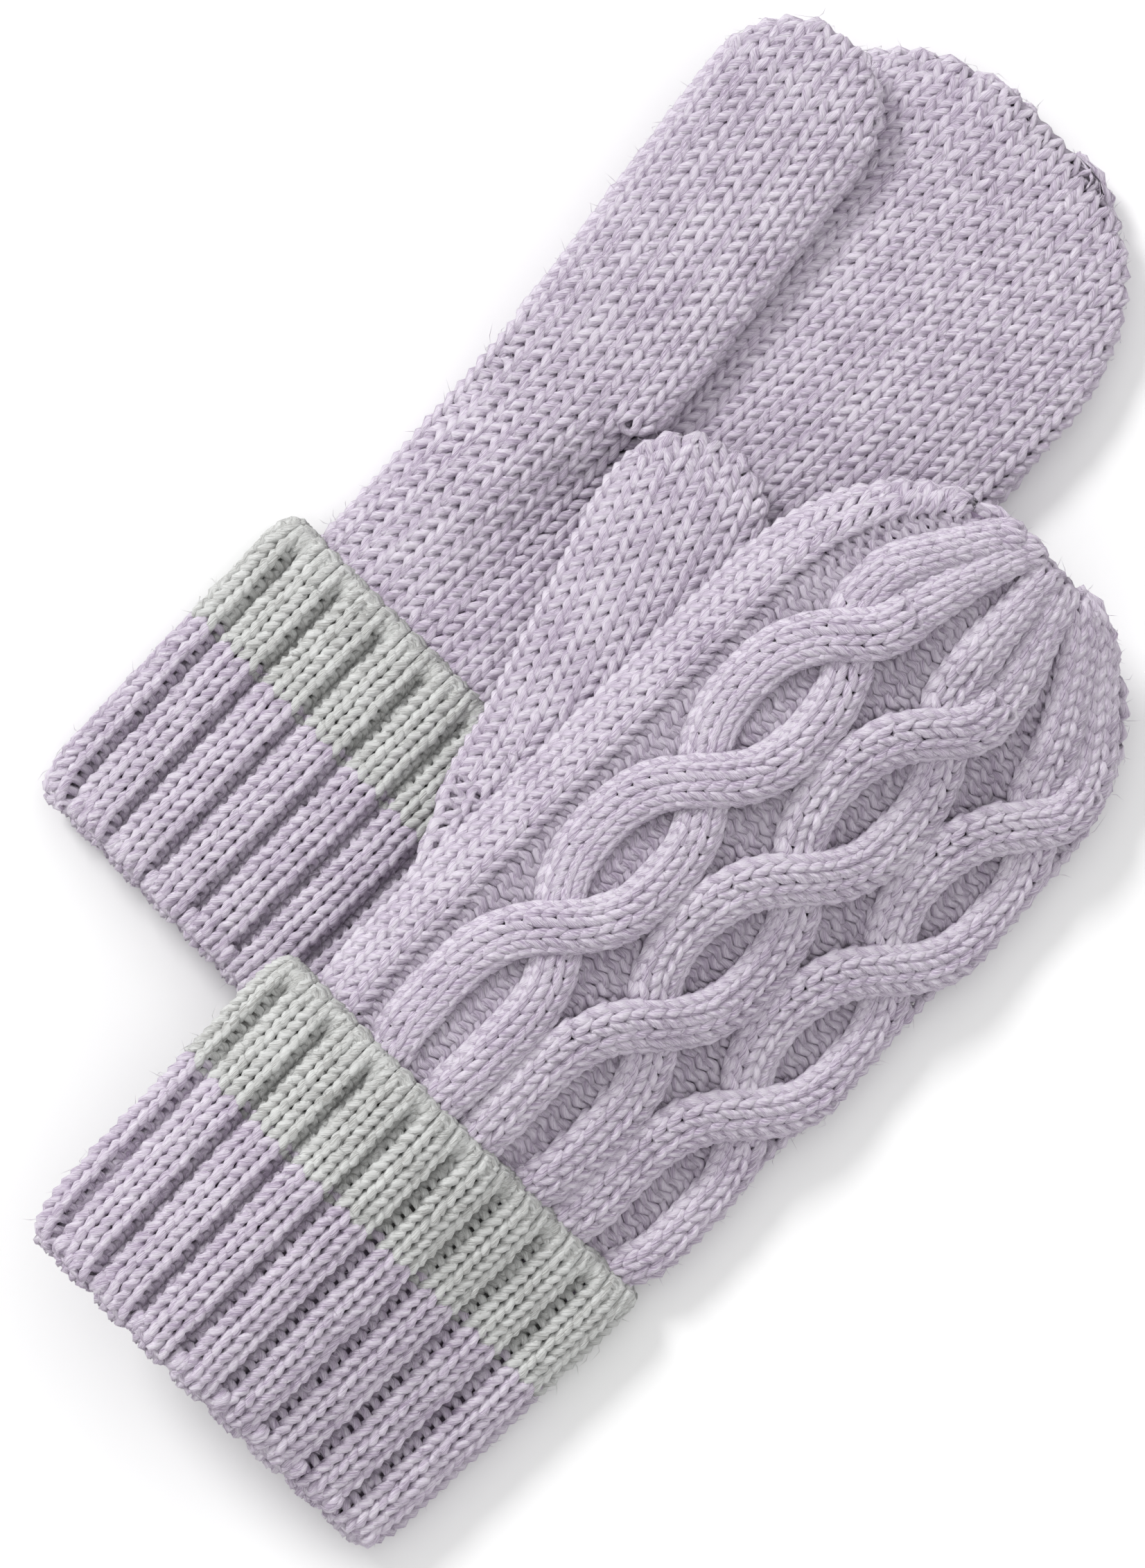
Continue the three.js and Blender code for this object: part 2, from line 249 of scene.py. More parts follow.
def fabricDepth(points):
    # 0 at the face of the fabric, 1 at the bottom of a groove; this depth is the mask of the painted shade in
    # the grooves
    if points.shape[1] < 7:
        return np.zeros(len(points))
    return np.clip((stitchShape["face"] - points[:, 6]) / stitchShape["grooveDepth"], 0, 1)


def yarnPiece(name, rows, material, radius=None, closed=False, sides=1):
    # nothing sinks into the table
    rest = radius or stitchShape["radius"] * stitchShape["pressed"]
    # how deep each point lies, kept as an attribute that masks the painted shade in the grooves
    groovePaintedShade = np.concatenate([fabricDepth(points) for points, thick in rows])
    rows = [(points[:, :3].copy(), np.array(thick)) for points, thick in rows]
    for points, thick in rows:
        points[:, 2] = np.maximum(points[:, 2], rest)
        if not closed:
            thick[[0, -1]] = 0  # an open strand closes to a point at each end
    curve = bpy.data.curves.new(name, "CURVE")
    curve.dimensions = "3D"
    curve.bevel_depth = (radius or stitchShape["radius"]) * mm
    curve.bevel_resolution = sides
    for points, thick in rows:
        spline = curve.splines.new("POLY")
        spline.points.add(len(points) - 1)
        spline.points.foreach_set("co", np.column_stack([points * mm, np.ones(len(points))]).ravel())
        spline.points.foreach_set("radius", thick)
        spline.use_cyclic_u = closed
    holder = bpy.data.objects.new(name + "_curve", curve)
    scene.collection.objects.link(holder)
    graph = bpy.context.evaluated_depsgraph_get()
    mesh = bpy.data.meshes.new_from_object(holder.evaluated_get(graph), depsgraph=graph)
    bpy.data.objects.remove(holder)
    mesh.name = name
    # each point of a strand became a ring of corners
    around = 4 + 2 * sides
    steps = [np.linalg.norm(np.diff(points, axis=0), axis=1) for points, thick in rows]
    along = np.repeat(np.concatenate([np.append(0, np.cumsum(step)) for step in steps]), around)
    turns = np.tile(np.arange(around) * 2 * math.pi / around, len(groovePaintedShade))
    ply = mesh.attributes.new("ply", "FLOAT_VECTOR", "POINT")
    ply.data.foreach_set("vector", np.column_stack([np.sin(turns), np.cos(turns), along]).ravel())
    mesh.attributes.new("groovePaintedShade", "FLOAT", "POINT").data.foreach_set("value", np.repeat(groovePaintedShade, around))
    mesh.polygons.foreach_set("use_smooth", [True] * len(mesh.polygons))
    mesh.materials.append(material)
    piece = bpy.data.objects.new(name, mesh)
    scene.collection.objects.link(piece)
    return piece


fibreShape = dict(radius=0.05, shortest=1.6, longest=4.6, seat=0.8, flat=0.8, leastRise=0.2, rise=0.9,
                  curl=0.6, droop=-0.4, lift=0.5, taper=(0.3, 1, 0.1), deepest=-2.5,
                  onHand=5200, onThumb=900, onBand=1500, onStripe=800)


def looseFibres(name, rows, count, material):
    # a halo of single fibres, each rooted in the yarn and lying mostly along the fabric
    shape = fibreShape
    spots = np.concatenate([points for points, thick in rows])
    spots = spots[spots[:, 6] > shape["deepest"]]
    spots = spots[chance.integers(len(spots), size=count)]
    out = spots[:, 3:6]
    start = spots[:, :3] + out * stitchShape["radius"] * shape["seat"]
    aim = chance.normal(size=(count, 3))
    aim -= out * np.sum(aim * out, 1, keepdims=True) * shape["flat"]
    aim /= np.linalg.norm(aim, axis=1, keepdims=True)
    length = chance.uniform(shape["shortest"], shape["longest"], (count, 1))
    bend = chance.normal(size=(count, 3)) * shape["curl"]
    middle = start + aim * length / 2 + out * chance.uniform(shape["leastRise"], shape["rise"], (count, 1))
    end = middle + (aim + bend) * length / 2 + out * chance.uniform(shape["droop"], shape["lift"], (count, 1))
    hairs = [(np.array(points), shape["taper"]) for points in zip(start, middle, end)]
    return yarnPiece(name, hairs, material, radius=shape["radius"], sides=0)


def faceEdges(half, wale):
    # whole stitches from the middle out, with the odd width left to the last one at each side
    n = max(1, math.ceil(half / wale - stitchShape["narrowest"]))
    inner = np.arange(-(n - 1), n) * wale
    return np.concatenate([[-half], inner, [half]])


woolLilac = dict(deep=(0.43, 0.345, 0.475), body=(0.75, 0.66, 0.795), pale=(0.92, 0.865, 0.95))
woolGrey = dict(deep=(0.43, 0.425, 0.41), body=(0.735, 0.74, 0.725), pale=(0.885, 0.895, 0.88))
woolTwist = dict(turn=11.0, stretch=0.05, fibreScale=8, mottleScale=90, fineScale=1500,
                 fibreToneAndHighlight=1.75, plyPaintedShade=0.08, mottleTone=0.35, toneShift=0.52, stops=(0.30, 0.48, 0.72),
                 paintedShade=0.55, sunkShade=0.45, bump=0.9, height=0.0003,
                 plyBump=0.35, fibreBump=1.6, fineBump=0.5,
                 roughness=0.95, specular=0.2, sheen=0.2, sheenRoughness=0.45)
linerPaintedShade = dict(scale=900, dark=0.6, light=0.9, stops=(0.35, 0.7), bump=0.6, height=0.0003)


def newMaterial(name):
    material = bpy.data.materials.new(name)
    material.use_nodes = True
    nodes, links = material.node_tree.nodes, material.node_tree.links
    return material, nodes, links, nodes["Principled BSDF"]


def addNoise(nodes, links, vector, scale, detail, roughness=0.5):
    noise = nodes.new("ShaderNodeTexNoise")
    noise.inputs["Scale"].default_value = scale
    noise.inputs["Detail"].default_value = detail
    noise.inputs["Roughness"].default_value = roughness
    links.new(vector, noise.inputs["Vector"])
    return noise.outputs["Fac"]


def addBump(nodes, links, shader, relief, strength, distance):
    bump = nodes.new("ShaderNodeBump")
    bump.inputs["Strength"].default_value = strength
    bump.inputs["Distance"].default_value = distance
    links.new(relief, bump.inputs["Height"])
    links.new(bump.outputs[0], shader.inputs["Normal"])


def woolMaterial(name, wool):
    material, nodes, links, shader = newMaterial(name)
    twist = woolTwist

    def maths(kind, a, b=None):
        node = nodes.new("ShaderNodeMath")
        node.operation = kind
        for socket, value in zip(node.inputs, (a, b)):
            if value is None:
                continue
            if isinstance(value, (int, float)):
                socket.default_value = value
            else:
                links.new(value, socket)
        return node.outputs[0]

    def added(*parts):
        total = maths("MULTIPLY", *parts[0])
        for part in parts[1:]:
            total = maths("ADD", total, maths("MULTIPLY", *part))
        return total

    ply = nodes.new("ShaderNodeAttribute")
    ply.attribute_name = "ply"
    parts = nodes.new("ShaderNodeSeparateXYZ")
    links.new(ply.outputs["Vector"], parts.inputs[0])
    angle = maths("ARCTAN2", parts.outputs["X"], parts.outputs["Y"])
    helix = maths("SUBTRACT", angle, maths("MULTIPLY", parts.outputs["Z"], 2 * math.pi / twist["turn"]))
    twoPly = maths("SINE", maths("MULTIPLY", helix, 2))
    # fibres lie along the twist, so the noise is stretched along it
    streak = nodes.new("ShaderNodeCombineXYZ")
    links.new(maths("SINE", helix), streak.inputs[0])
    links.new(maths("COSINE", helix), streak.inputs[1])
    links.new(maths("MULTIPLY", parts.outputs["Z"], twist["stretch"]), streak.inputs[2])
    fibres = addNoise(nodes, links, streak.outputs[0], twist["fibreScale"], 3, 0.7)
    where = nodes.new("ShaderNodeTexCoord").outputs["Object"]
    mottle = addNoise(nodes, links, where, twist["mottleScale"], 5)
    fine = addNoise(nodes, links, where, twist["fineScale"], 3)
    # the ply term paints the light and shade of the twist into the colour; the fibre term gives the fibres'
    # own tone together with painted highlights along them
    tone = added((fibres, twist["fibreToneAndHighlight"]), (twoPly, twist["plyPaintedShade"]), (mottle, twist["mottleTone"]))
    ramp = nodes.new("ShaderNodeValToRGB")
    deepStop, bodyStop, paleStop = twist["stops"]
    ramp.color_ramp.elements[0].position = deepStop
    ramp.color_ramp.elements[0].color = (*wool["deep"], 1)
    ramp.color_ramp.elements[1].position = paleStop
    ramp.color_ramp.elements[1].color = (*wool["pale"], 1)
    ramp.color_ramp.elements.new(bodyStop).color = (*wool["body"], 1)
    links.new(maths("SUBTRACT", tone, twist["toneShift"]), ramp.inputs[0])
    # painted shade: the yarn's colour is darkened where it lies deep, standing in for the shade in the
    # grooves
    deep = nodes.new("ShaderNodeAttribute")
    deep.attribute_name = "groovePaintedShade"
    paintedShade = nodes.new("ShaderNodeMix")
    paintedShade.data_type = "RGBA"
    links.new(maths("MULTIPLY", deep.outputs["Fac"], twist["paintedShade"]), paintedShade.inputs["Factor"])
    links.new(ramp.outputs[0], paintedShade.inputs["A"])
    paintedShade.inputs["B"].default_value = (*[c * twist["sunkShade"] for c in wool["deep"]], 1)
    links.new(paintedShade.outputs["Result"], shader.inputs["Base Color"])
    relief = added((twoPly, twist["plyBump"]), (fibres, twist["fibreBump"]), (fine, twist["fineBump"]))
    addBump(nodes, links, shader, relief, twist["bump"], twist["height"])
    shader.inputs["Roughness"].default_value = twist["roughness"]
    shader.inputs["Specular IOR Level"].default_value = twist["specular"]
    shader.inputs["Sheen Weight"].default_value = twist["sheen"]
    shader.inputs["Sheen Roughness"].default_value = twist["sheenRoughness"]
    shader.inputs["Sheen Tint"].default_value = (*wool["pale"], 1)
    return material


def paintedShadeMaterial(name, wool):
    # painted shade: a sheet coloured darker than the wool, seen between the loops where there is only shade
    material, nodes, links, shader = newMaterial(name)
    where = nodes.new("ShaderNodeTexCoord").outputs["Object"]
    fuzz = addNoise(nodes, links, where, linerPaintedShade["scale"], 4)
    ramp = nodes.new("ShaderNodeValToRGB")
    shares = (linerPaintedShade["dark"], linerPaintedShade["light"])
    for stop, at, share in zip(ramp.color_ramp.elements, linerPaintedShade["stops"], shares):
        stop.position = at
        stop.color = (*[c * share for c in wool["deep"]], 1)
    links.new(fuzz, ramp.inputs[0])
    links.new(ramp.outputs[0], shader.inputs["Base Color"])
    addBump(nodes, links, shader, fuzz, linerPaintedShade["bump"], linerPaintedShade["height"])
    shader.inputs["Roughness"].default_value = 1.0
    return material


lilac = woolMaterial("lilac_wool", woolLilac)
grey = woolMaterial("grey_wool", woolGrey)
lilacShade = paintedShadeMaterial("lilac_painted_shade", woolLilac)
greyShade = paintedShadeMaterial("grey_painted_shade", woolGrey)


def settle(piece, body, nodes):
    if nodes:
        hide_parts(*nodes)
    if body:
        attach(piece, body)
    print(piece.name, len(piece.data.polygons))


palmKnit = dict(wale=4.5, course=3.5, start=70, stop=1.5, lift=-0.9)


def knitPalm(lay):
    name = lay["name"]
    section = handFace(lay, 1)
    course = palmKnit["course"]
    rows = []
    for j in range(int((handShape["length"] - palmKnit["stop"] - palmKnit["start"]) / course) + 1):
        rowY = palmKnit["start"] + j * course
        edges = faceEdges(halfArc(section, rowY), palmKnit["wale"])
        if rowY < lay["thumbBase"][1]:
            edges = edges[edges > lay["gussetEdge"] - 0.1]  # the gusset takes the rest of the row
        s, y, lift, thick = stitches(edges, np.ones(len(edges) - 1), rowY, course)
        y = np.minimum(y, handShape["length"] - handShape["yarnEnd"])
        rows.append((onFace(section, s, rowY, y, lift + palmKnit["lift"]), thick))
    lay["handRows"] = rows
    piece = yarnPiece(name + "_palm_knit", rows, lilac)
    settle(piece, name + "_hand", [name + "_palm_panel", name + "_tip_gather"])


backKnit = dict(wale=4.5, course=3.5, start=70, stop=3, lift=-0.9, bandEdge=-39, outerEdge=49, purlDrop=1.9,
                dropFrom=-2, dropTo=3)


def knitBack(lay):
    # purl ground, with a plain knit band beside the thumb and at the outer edge
    name = lay["name"]
    section = handFace(lay, -1)
    full = halfArc(section, handShape["fullAt"])
    n = int(round(2 * full / backKnit["wale"]))
    course, bandEdge = backKnit["course"], backKnit["bandEdge"]
    rows = []
    for j in range(int((handShape["length"] - backKnit["stop"] - backKnit["start"]) / course) + 1):
        rowY = backKnit["start"] + j * course
        half = halfArc(section, rowY)
        edges = np.linspace(-full, full, n + 1)
        middles = (edges[1:] + edges[:-1]) / 2
        kinds = np.where((middles < bandEdge) | (middles > backKnit["outerEdge"]), 1.0, -1.0)
        s, y, lift, thick = stitches(edges * half / full, kinds, rowY, course)
        dropped = ease(bandEdge + backKnit["dropFrom"], bandEdge + backKnit["dropTo"], s * full / half)
        y = np.minimum(y, handShape["length"] - handShape["yarnEnd"])
        high = lift + backKnit["lift"] - backKnit["purlDrop"] * dropped
        rows.append((onFace(section, s, rowY, y, high), thick))
    lay["handRows"] = lay["handRows"] + rows
    piece = yarnPiece(name + "_back_knit", rows, lilac)
    seams = [name + "_thumb_side_seam", name + "_outer_side_seam"]
    settle(piece, name + "_hand", [name + "_back_panel"] + seams)


cableKnit = dict(centres=(-19.7, 9.6, 38), swing=9.3, snap=1.15, firstEye=104, period=44.3, turns=3,
                 lastCross=214.7, calm=12, startTurn=0.4, tipSwing=0.66,
                 crowd=0.16, crowdFrom=228, crowdTo=250,
                 underCuff=6, stop=2.5, tipStop=1.2, wale=4.2, edge=0.8, course=3.5, narrowest=0.68,
                 lift=1.5, riseFrom=76, riseTo=90, over=1.9, under=0.5, crown=0.95, crownMost=3.2)


def cableSwing(y):
    # the strands hang beside each other at an eye, change over quickly, and run up together at the tip
    shape = cableKnit
    turn = math.pi * (y - shape["firstEye"]) / shape["period"]
    last = shape["turns"] * math.pi
    turn = max(turn * shape["startTurn"], min(turn, last)) if turn < 0 else min(turn, last)
    swing = math.tanh(shape["snap"] * math.cos(turn)) / math.tanh(shape["snap"])
    calmEnd = shape["lastCross"] + shape["calm"]
    over = math.sin(turn) if shape["firstEye"] < y < calmEnd else 0
    return swing * mix(1, shape["tipSwing"], float(ease(shape["lastCross"], calmEnd, y))), over


def shrink(section, y):
    # how far the fabric has drawn in towards the fingertip, where the cables crowd away from the edges
    shape = cableKnit
    half = halfArc(section, min(y, handShape["length"] - shape["tipStop"]))
    drawn = half / halfArc(section, handShape["fullAt"])
    return drawn * (1 - shape["crowd"] * float(ease(shape["crowdFrom"], shape["crowdTo"], y)))


def knitCables(lay):
    name = lay["name"]
    section = handFace(lay, -1)
    shape = cableKnit
    ahead = 0.5

    def middle(centre, strand, y):
        return (centre - strand * shape["swing"] * cableSwing(y)[0]) * shrink(section, y)

    rows = []
    for centre in shape["centres"]:
        for strand in (1, -1):
            yAt = cuffShape["depth"] - shape["underCuff"]
            while yAt < handShape["length"] - shape["stop"]:
                crossing = cableSwing(yAt)[1]
                path = middle(centre, strand, yAt)
                slope = (middle(centre, strand, yAt + ahead) - path) / ahead
                size = math.hypot(1, slope)
                narrow = max(shape["narrowest"], shrink(section, yAt))
                outer = shape["wale"] + shape["edge"]
                edges = np.array([-outer, -shape["wale"], 0, shape["wale"], outer]) * narrow
                across, up, lift, thick = stitches(edges, np.ones(4), 0, shape["course"], 8)
                crown = -shape["crown"] * (across / (shape["wale"] * narrow)) ** 4
                over = max(strand * crossing, 0) * shape["over"] + min(strand * crossing, 0) * shape["under"]
                s = path + across / size + up * slope / size
                y = yAt - across * slope / size + up / size
                y = np.minimum(y, handShape["length"] - handShape["yarnEnd"])
                proud = (shape["lift"] + over) * float(ease(shape["riseFrom"], shape["riseTo"], yAt))
                high = lift + backKnit["lift"] + proud + np.maximum(crown, -shape["crownMost"])
                rows.append((onFace(section, s, yAt, y, high), thick))
                yAt += shape["course"] / size
    lay["handRows"] = lay["handRows"] + rows
    settle(yarnPiece(name + "_cables", rows, lilac), name + "_hand", [])


thumbKnit = dict(columns=4, course=3.5, lift=-0.9, start=0.5, stop=1.2, bend=15, hingeFrom=-2, hingeTo=16)


def thumbFrame(lay, s):
    # the gusset's middle line bends into the thumb's over a short stretch about the crease
    spread = math.radians(lay["thumbSpread"])
    baseX, baseY = lay["thumbBase"]
    reach = thumbKnit["bend"]
    bend = np.where(s > reach, s, np.where(s < -reach, 0, (s + reach) ** 2 / (4 * reach)))
    lean = np.where(s > reach, 1, np.where(s < -reach, 0, (s + reach) / (2 * reach))) * spread
    return baseX - math.sin(spread) * bend, baseY + np.where(s > 0, math.cos(spread) * s, s), lean


def thumbLevel(lay):
    if lay["name"] == "left":
        return lay["thumbLevel"]
    return cuffShape["thickness"] + lay["raise"] - lay["thumbLevel"]


def thumbWale(lay):
    # the thumb's columns carry on from the gusset's, which carry on from the palm's
    return (lay["gussetEdge"] - lay["thumbBase"][0]) / thumbKnit["columns"]


def knitThumb(lay):
    name = lay["name"]
    half = lay["thumbHalf"]
    length = lay["thumbLength"]
    level = thumbLevel(lay)
    course = thumbKnit["course"]
    power = thumbShape["sidePower"]

    def taper(y):
        return rounding(y, length - thumbShape["tipRound"], thumbShape["tipRound"], thumbShape["tipPower"])

    section = dict(halfWidth=lambda y: half * taper(y), power=power,
                   height=lambda y: thumbShape["thickness"] / 2 * taper(y))
    rows = []
    for face in (1, -1):
        for j in range(int((length - thumbKnit["stop"]) / course) + 1):
            rowY = thumbKnit["start"] + j * course
            edges = faceEdges(halfArc(section, rowY), thumbWale(lay))
            s, y, lift, thick = stitches(edges, np.ones(len(edges) - 1), rowY, course)
            y = np.minimum(y, length - handShape["yarnEnd"])
            arc, xs = arcTable(section, rowY)
            a = np.maximum(section["halfWidth"](y), thinnest["halfWidth"])
            h = np.maximum(section["height"](y), thinnest["height"])
            x = np.clip(np.sign(s) * np.interp(np.abs(s), arc, xs), -a * sideMost, a * sideMost)
            u = np.abs(x) / a
            rise = (1 - u ** power) ** (1 / power)
            slope = (taper(y + 0.5) - taper(y - 0.5)) / np.maximum(taper(y), 0.02)
            nx, nz, ny = np.sign(x) * u ** (power - 1) / a, face * rise ** (power - 1) / h, -slope
            middleX, middleY, lean = thumbFrame(lay, y)
            cos, sin = np.cos(lean), np.sin(lean)
            normal = (nx * cos - ny * sin, nx * sin + ny * cos, nz)
            rows.append((place(lay, middleX + x * cos, middleY + x * sin, level + face * h * rise, normal,
                               lift + thumbKnit["lift"]), thick))
    piece = yarnPiece(name + "_thumb_knit", rows, lilac)
    settle(piece, None, [name + "_thumb_tube", name + "_thumb_tip_gather"])
    fluff = looseFibres(name + "_thumb_fibres", rows, fibreShape["onThumb"], lilac)
    settle(fluff, None, [])
    for soft in (piece, fluff):
        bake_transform(soft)


gussetKnit = dict(length=76, blend=24, crease=-2, full=-4, rimFrom=-6, tuckUnder=6, leastSide=1.5,
                  crown=0.9, underLean=0.15)


def knitGusset(lay):
    name = lay["name"]
    half = lay["thumbHalf"]
    level = thumbLevel(lay)
    wale = thumbWale(lay)
    shape = gussetKnit
    power = thumbShape["sidePower"]
    thick2 = thumbShape["thickness"] / 2
    baseX, baseY = lay["thumbBase"]
    palm = handFace(lay, 1)
    inner = lay["gussetEdge"] - baseX
    rimless = palm["halfWidth"](baseY) + baseX
    rows = []
    for j in range(int((baseY - palmKnit["start"]) / palmKnit["course"]) + 1):
        rowS = palmKnit["start"] + j * palmKnit["course"] - baseY
        outer = mix(rimless, half, float(ease(-lay["gussetSwell"], shape["crease"], rowS)))
        columns = math.ceil((inner + outer) / wale - stitchShape["narrowest"])
        edges = np.concatenate([[-outer], inner - wale * np.arange(columns - 1, -1, -1)])
        across, s, lift, thick = stitches(edges, np.ones(columns), rowS, palmKnit["course"])
        middleX, middleY, lean = thumbFrame(lay, s)
        x, y = middleX + across * np.cos(lean), middleY + across * np.sin(lean)
        u = np.clip(np.abs(x) / palm["halfWidth"](y), 0, 1)
        ground = palm["side"] + palm["height"](y) * np.sqrt(1 - u ** 2) * (1 + palm["tilt"] * x)
        nx = np.sign(x) * u / palm["halfWidth"](y)
        nz = np.sqrt(1 - u ** 2) / palm["height"](y)
        # a low swelling over the hand, that takes the thumb's own section as it nears the crease
        grown = ease(-shape["length"], shape["full"], rowS)
        inside = 1 - ease(0, 1, across / inner)
        outside = (1 - np.clip(-across / outer, 0, 0.999) ** power) ** (1 / power)
        soft = np.where(across > 0, inside, outside)
        middleRise = math.sqrt(1 - (baseX / (handShape["width"] / 2)) ** 2)
        swelling = (level + thick2 - palm["side"] - palm["height"](y) * middleRise) * grown * soft
        share = np.clip(np.where(across < 0, -across / outer, across / half), 0, 0.999)
        tube = level + thick2 * (1 - share ** power) ** (1 / power)
        held = np.where(across > 0, 1 - share ** 3 * (rowS < shape["rimFrom"]), 1)
        blend = ease(-shape["blend"], shape["crease"], rowS) * held
        z = mix(ground + swelling, tube, blend)
        nx = mix(nx, np.sign(across) * share ** (power - 1) / half, blend)
        nz = mix(nz, shape["crown"] * np.sqrt(1 - share ** power) / thick2, blend)
        rows.append((place(lay, x, y, z, (nx, 0 * nx, nz), lift + thumbKnit["lift"]), thick))
        # the side that faces the back closes the swelling under the edge of the hand
        if outer - rimless < shape["leastSide"]:
            continue
        columns = max(1, round((outer - rimless + shape["tuckUnder"]) / wale))
        edges = np.linspace(-outer, -rimless + shape["tuckUnder"], columns + 1)
        across, s, lift, thick = stitches(edges, np.ones(columns), rowS, palmKnit["course"])
        middleX, middleY, lean = thumbFrame(lay, s)
        x, y = middleX + across * np.cos(lean), middleY + across * np.sin(lean)
        share = np.clip(-across / outer, 0, 0.999)
        tube = level - thick2 * (1 - share ** power) ** (1 / power)
        z = mix(palm["side"], tube, blend.max())
        normal = (-share ** (power - 1) / half, 0 * x, -shape["underLean"] * np.sqrt(1 - share))
        rows.append((place(lay, x, y, z, normal, lift + thumbKnit["lift"]), thick))
    lay["handRows"] = lay["handRows"] + rows
    piece = yarnPiece(name + "_gusset_knit", rows, lilac)
    settle(piece, name + "_hand", [name + "_thumb_gusset", name + "_thumb_join"])


ribKnit = dict(repeats=17, knitShare=0.385, course=3.0, lean=0.2, lift=-0.2, ridge=1.1,
               groove=3.9, grooveFrom=0.33, grooveTo=0.46, start=4.5, edgeRoom=4, stripeCourse=2.85)
# each row of the cast-on edge: how far past the cuff's depth, its share of the ribs' relief, and its sink
castOn = dict(rows=((-2.2, 0.8, 0.2), (-0.6, 0.45, 0.1), (0.7, 0.2, 0.5), (1.4, 0.1, 1.9), (1.2, 0, 3.4)),
              course=2.0, flatten=0.7)
foldKnit = dict(rows=4, course=2.2, middle=4.0, reach=3.2, depth=2.6, inset=1.6)
liningKnit = dict(rows=7, course=3.2, start=4, inset=3.6, relief=0.25, drop=2.4)


def ribEdges(perimeter):
    repeat = perimeter / ribKnit["repeats"]
    knit = repeat * ribKnit["knitShare"]
    purl = repeat / 2 - knit
    edges = [0]
    for k in range(ribKnit["repeats"]):
        for width in (knit, knit, purl, purl):
            edges.append(edges[-1] + width)
    kinds = np.tile([1.0, 1.0, -1.0, -1.0], ribKnit["repeats"])
    return np.array(edges), kinds


def aroundCuff(lay, s, rowY, y, lift, inset):
    # s runs all the way round: the palm face from the outer side to the thumb side, then the back face
    faces = [cuffFace(lay, 1, inset), cuffFace(lay, -1, inset)]
    halves = [halfArc(f, rowY) for f in faces]
    s = np.mod(s, 2 * sum(halves))
    upper = s < 2 * halves[0]
    onPalm = onFace(faces[0], halves[0] - s, rowY, y, lift)
    onBack = onFace(faces[1], (s - 2 * halves[0]) - halves[1], rowY, y, lift)
    return np.where(upper[:, None], onPalm, onBack)


def perimeterOf(lay, rowY, inset):
    return 2 * sum(halfArc(cuffFace(lay, face, inset), rowY) for face in (1, -1))


def ribRelief(s, perimeter):
    repeat = perimeter / ribKnit["repeats"]
    knitCentre = repeat * ribKnit["knitShare"]
    off = np.abs(np.mod((s - knitCentre) / repeat + 0.5, 1) - 0.5)
    groove = ease(ribKnit["grooveFrom"], ribKnit["grooveTo"], off)
    return ribKnit["ridge"] * np.cos(math.pi * off) - ribKnit["groove"] * groove


def ribStitches(lay, rowY, inset, course, points, plain=False):
    perimeter = perimeterOf(lay, max(rowY, 0), inset)
    edges, kinds = ribEdges(perimeter)
    if plain:
        kinds = kinds * 0 + 1
    s, y, lift, thick = stitches(edges, kinds, rowY, course, points, flip=-1, lean=ribKnit["lean"])
    return s, y, lift, thick, ribRelief(s, perimeter)


def ribRow(lay, rowY, course):
    inset = cuffShape["yarnInset"]
    s, y, lift, thick, relief = ribStitches(lay, rowY, inset, course, 10)
    return aroundCuff(lay, s, rowY, y, lift + relief + ribKnit["lift"], inset), thick


def liningRow(lay, rowY):
    # the inner layer shows the ribs from behind, and only faintly
    inset = liningKnit["inset"]
    s, y, lift, thick, relief = ribStitches(lay, rowY, inset, liningKnit["course"], 8)
    lift = -(lift + relief + ribKnit["lift"]) * liningKnit["relief"] - liningKnit["drop"]
    return aroundCuff(lay, s, rowY, y, lift, inset), thick


def castOnRow(lay, past, share, sink):
    # a rolled strand that arches from rib to rib
    rowY = cuffShape["depth"] + past
    inset = cuffShape["yarnInset"]
    s, y, lift, thick, relief = ribStitches(lay, rowY, inset, castOn["course"], 8, plain=True)
    return aroundCuff(lay, s, rowY, y, lift * castOn["flatten"] + relief * share - sink, inset), thick


def foldRow(lay, k):
    # the fold turns from the band into the lining
    turn = math.pi * (k + 0.5) / foldKnit["rows"]
    rowY = foldKnit["middle"] - foldKnit["reach"] * math.sin(turn)
    inset = foldKnit["inset"] + foldKnit["depth"] * (1 - math.cos(turn)) / 2
    s, y, lift, thick, relief = ribStitches(lay, rowY, inset, foldKnit["course"], 8)
    lean = math.cos(turn)
    y = rowY + (y - rowY) * abs(lean) - (lift + relief * 0.5) * math.sin(turn)
    return aroundCuff(lay, s, max(rowY, 0), y, (lift + relief) * lean, inset), thick


